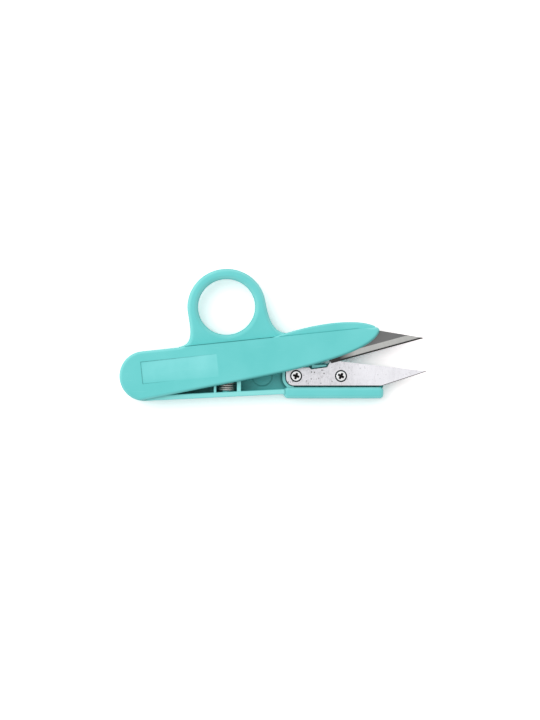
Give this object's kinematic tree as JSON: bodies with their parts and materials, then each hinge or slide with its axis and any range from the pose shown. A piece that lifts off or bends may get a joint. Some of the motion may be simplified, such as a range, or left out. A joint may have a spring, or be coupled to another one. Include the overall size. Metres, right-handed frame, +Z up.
{
  "type": "thread snips",
  "caption": "Spring-loaded thread snips: moulded handles hinged at the tail, a finger ring and thumb pad, and pointed steel blades held by screws.",
  "frame": {"origin": "on the surface that the snips lie on, under the middle of the open snips' box", "axes": "+X from the tail along the snips to the blade tips, +Y across towards the finger ring, +Z up out of the front cover"},
  "size_m": [0.1198, 0.0518, 0.012],
  "materials": {
    "upper_handle_plastic": "satin moulded teal plastic",
    "lower_handle_plastic": "satin moulded teal plastic",
    "blade_steel": "polished and ground blade steel",
    "screw_steel": "bright plated steel",
    "spring_steel": "drawn spring wire"
  },
  "bodies": {
    "lower_half": {"lower_handle": "lower_handle_plastic", "lower_blade": "blade_steel", "lower_blade_rear_screw": "screw_steel", "lower_blade_front_screw": "screw_steel", "return_spring": "spring_steel"},
    "upper_half": {"upper_handle": "upper_handle_plastic", "upper_blade": "blade_steel", "upper_blade_rear_screw": "screw_steel", "upper_blade_front_screw": "screw_steel", "pivot_screw": "screw_steel", "pivot_washer": "screw_steel"}
  },
  "joints": [
    {"name": "handle_squeeze", "type": "hinge", "parent": "lower_half", "child": "upper_half", "pos_m": [-0.05025, -0.01616, 0.006], "axis": [0, 0, -1], "range_deg": [0, 7.1], "stiffness_Nm_per_rad": 1.7, "springref_deg": -5.04, "deforming": ["return_spring"]}
  ]
}
